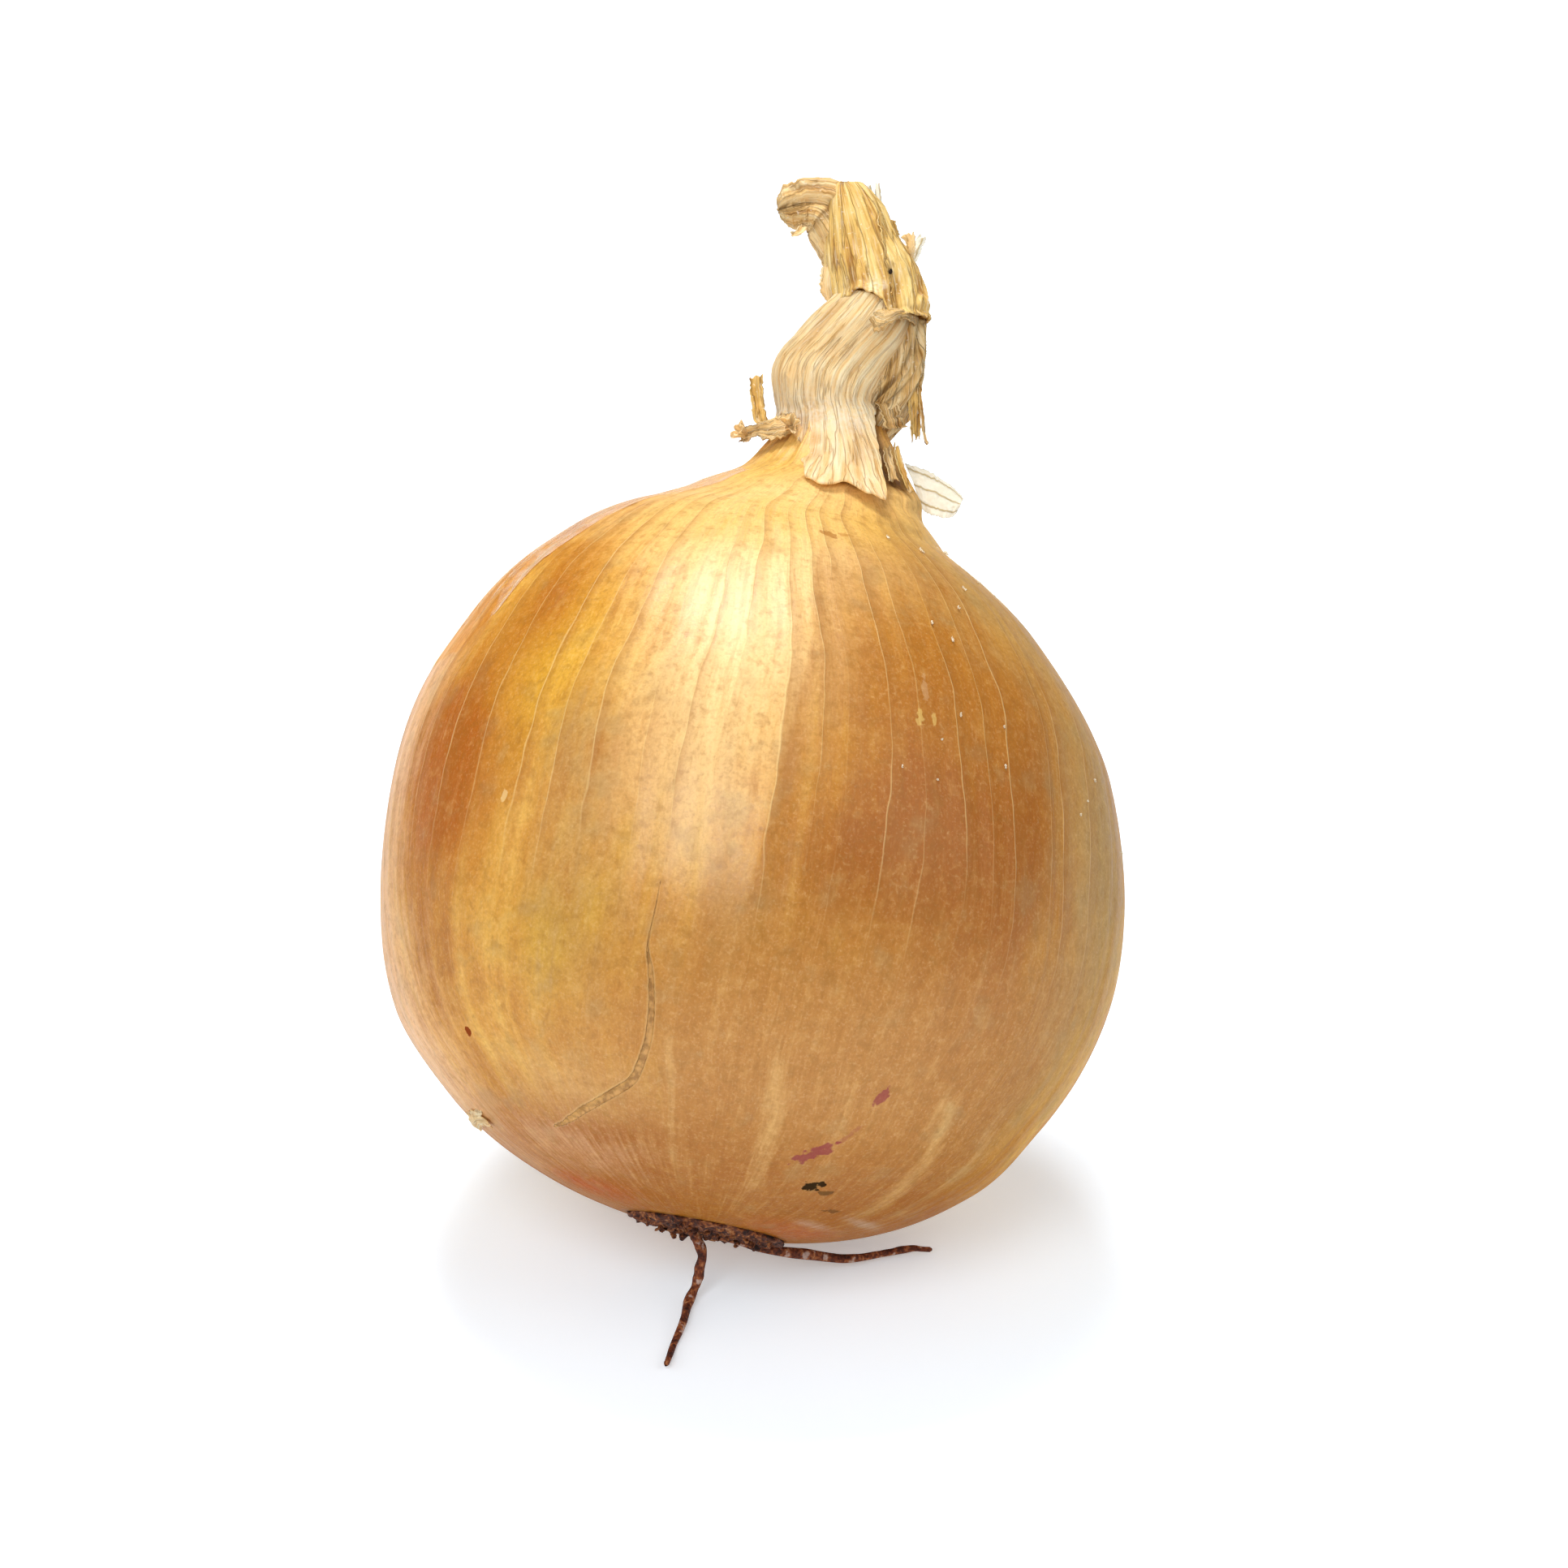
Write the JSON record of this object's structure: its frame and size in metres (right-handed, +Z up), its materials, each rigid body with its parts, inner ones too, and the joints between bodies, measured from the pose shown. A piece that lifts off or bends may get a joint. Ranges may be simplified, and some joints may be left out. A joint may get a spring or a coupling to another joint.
{
  "type": "onion",
  "caption": "Brown onion at rest, leaning back, with a pleated dry neck, a scrap of loose skin and a root plate with dried roots.",
  "frame": {"origin": "middle of the flat spot that the bulb rests on, at its underside", "axes": "+Z up, -Y towards the side that shows the root plate, +X towards the side that the neck leans to"},
  "size_m": [0.0781, 0.0847, 0.1013],
  "materials": {
    "amber_skin": "dry papery skin with a soft sheen",
    "straw_sheath": "matt, fibrous, dried leaf",
    "corky_root": "matt and corky",
    "clear_film": "thin translucent dry film"
  },
  "bodies": {
    "root": {"bulb": "amber_skin", "neck": "straw_sheath", "root_plate": "corky_root", "skin_flake": "clear_film"}
  },
  "joints": []
}
